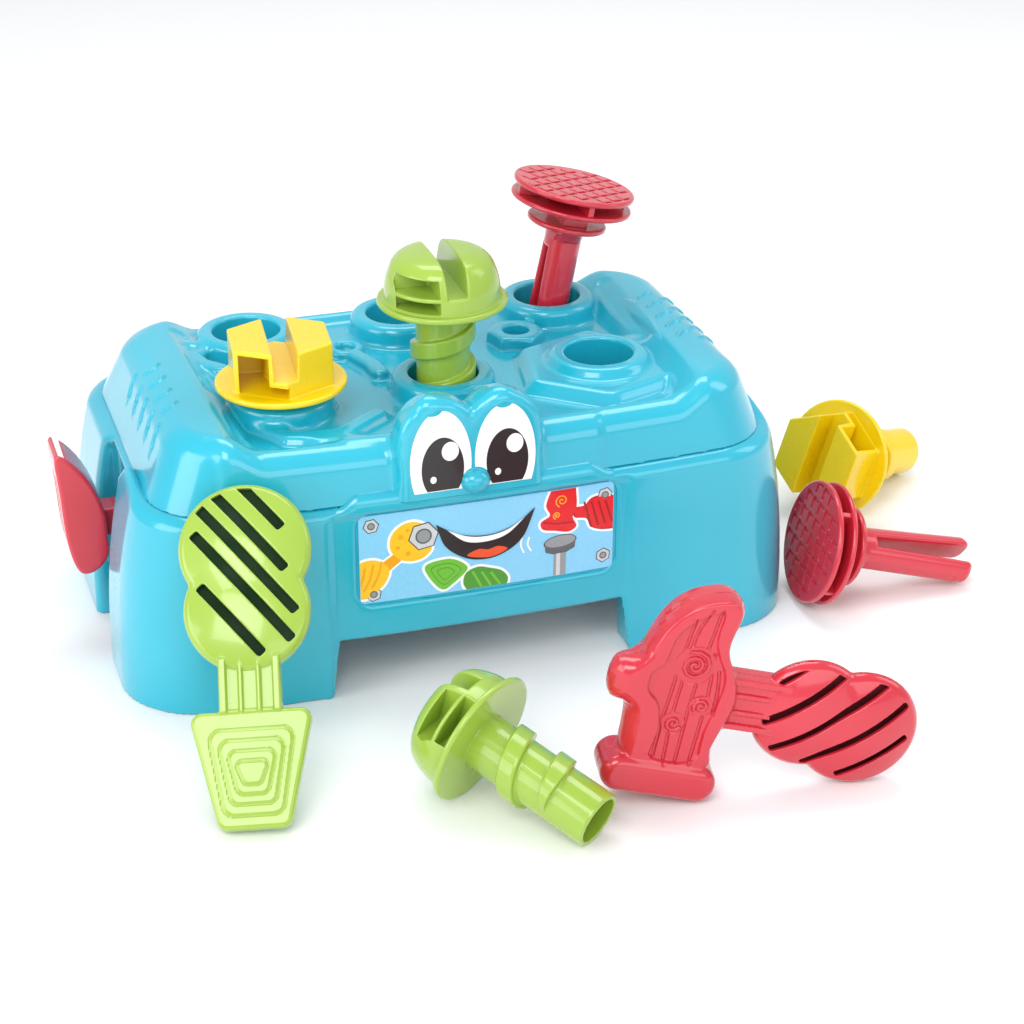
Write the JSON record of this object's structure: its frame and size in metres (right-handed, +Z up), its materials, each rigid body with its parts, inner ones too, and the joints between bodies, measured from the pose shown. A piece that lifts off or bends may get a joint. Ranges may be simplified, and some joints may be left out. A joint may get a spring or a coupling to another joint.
{
  "type": "toy workbench",
  "caption": "Child's toy workbench on four legs with round peg sockets and a side vice, set with hex bolts, dome bolts, nails, a hammer and a screwdriver.",
  "frame": {"origin": "centre of the whole set's footprint, on the surface that the bench stands on", "axes": "+X to the right seen from the front, +Y to the back, +Z up"},
  "size_m": [0.4876, 0.3656, 0.1976],
  "materials": {
    "bench_blue": "gloss, turquoise blue moulded plastic",
    "toy_yellow": "gloss, yellow moulded plastic",
    "toy_green": "gloss, light green moulded plastic",
    "toy_red": "gloss, red moulded plastic",
    "panel_white": "satin white plastic backing plate",
    "printed_label": "gloss printed label, pale blue ground",
    "eye_label": "gloss printed label, white with black pupils",
    "screw_steel": "zinc plated steel"
  },
  "bodies": {
    "bench": {"upper_casing": "bench_blue", "leg_frame": "bench_blue", "casing_screws": "screw_steel", "window_panel": "panel_white", "panel_label": "printed_label", "eye_label_left": "eye_label", "eye_label_right": "eye_label"},
    "vice": {"vice_jaw": "toy_red", "vice_stop": "toy_red", "vice_stop_screw": "screw_steel"},
    "seated_yellow_bolt": {"yellow_bolt_seated": "toy_yellow"},
    "raised_green_bolt": {"green_bolt_raised": "toy_green"},
    "raised_red_nail": {"red_nail_raised": "toy_red"},
    "loose_yellow_bolt": {"yellow_bolt_loose": "toy_yellow"},
    "loose_green_bolt": {"green_bolt_loose": "toy_green"},
    "loose_red_nail": {"red_nail_loose": "toy_red"},
    "hammer": {"hammer_front_shell": "toy_red", "hammer_back_shell": "toy_red", "hammer_screws": "screw_steel"},
    "screwdriver": {"screwdriver_front_shell": "toy_green", "screwdriver_back_shell": "toy_green", "screwdriver_screws": "screw_steel"}
  },
  "joints": [
    {"name": "vice_slide", "type": "slide", "parent": "bench", "child": "vice", "axis": [-1, 0, 0], "range_m": [-0.008, 0.016]},
    {"name": "yellow_bolt_screw", "type": "slide", "parent": "bench", "child": "seated_yellow_bolt", "axis": [0, 0, 1], "range_m": [-0.0034, 0.064]},
    {"name": "green_bolt_screw", "type": "slide", "parent": "bench", "child": "raised_green_bolt", "axis": [0, 0, 1], "range_m": [-0.0354, 0.032]},
    {"name": "red_nail_drive", "type": "slide", "parent": "bench", "child": "raised_red_nail", "axis": [0.2079, 0, 0.9781], "range_m": [-0.033, 0.034]},
    {"name": "loose_yellow_bolt_lift", "type": "slide", "parent": "bench", "child": "loose_yellow_bolt", "axis": [0, 0, 1], "range_m": [0, 0.15]},
    {"name": "loose_green_bolt_lift", "type": "slide", "parent": "bench", "child": "loose_green_bolt", "axis": [0, 0, 1], "range_m": [0, 0.15]},
    {"name": "loose_red_nail_lift", "type": "slide", "parent": "bench", "child": "loose_red_nail", "axis": [0, 0, 1], "range_m": [0, 0.15]},
    {"name": "hammer_lift", "type": "slide", "parent": "bench", "child": "hammer", "axis": [0, 0, 1], "range_m": [0, 0.15]},
    {"name": "screwdriver_lift", "type": "slide", "parent": "bench", "child": "screwdriver", "axis": [0, 0, 1], "range_m": [0, 0.15]}
  ]
}
